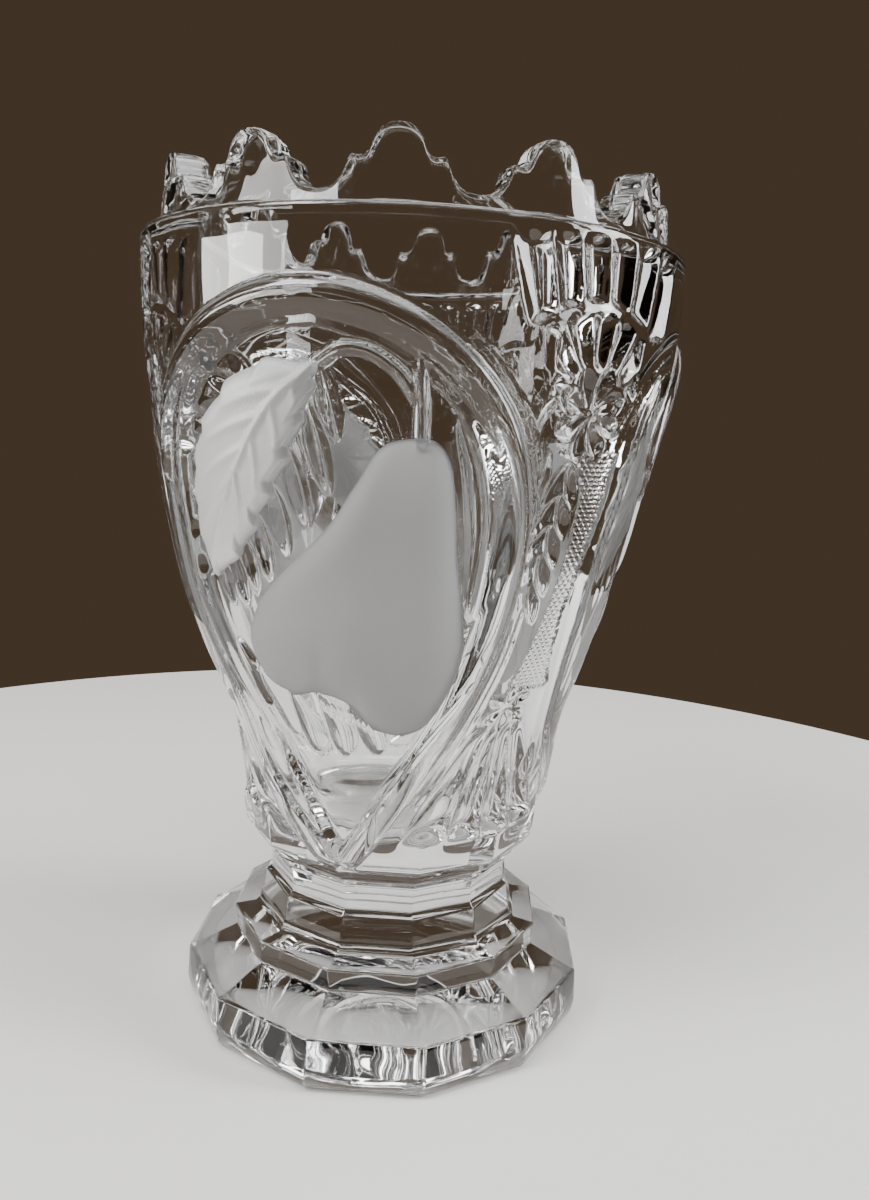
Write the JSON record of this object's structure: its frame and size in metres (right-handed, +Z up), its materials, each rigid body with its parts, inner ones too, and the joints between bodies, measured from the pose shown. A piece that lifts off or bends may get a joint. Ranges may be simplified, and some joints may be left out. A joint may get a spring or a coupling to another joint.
{
  "type": "footed glass vase",
  "caption": "Footed clear crystal vase with a toothed crown rim, arched medallions of satin fruit and leaf reliefs, cut columns and a stepped polygonal foot.",
  "frame": {"origin": "centre of the base, on the surface that the foot stands on", "axes": "+Z up along the vase's axis; -Y towards the middle of the first medallion"},
  "size_m": [0.1126, 0.1134, 0.18],
  "materials": {
    "clear_crystal": "polished",
    "satin_crystal": "satin"
  },
  "bodies": {
    "root": {"bowl": "clear_crystal", "foot": "clear_crystal", "pear_relief_1": "satin_crystal", "pear_relief_2": "satin_crystal", "pear_relief_3": "satin_crystal", "leaf_relief_1": "satin_crystal", "leaf_relief_2": "satin_crystal", "leaf_relief_3": "satin_crystal"}
  },
  "joints": []
}
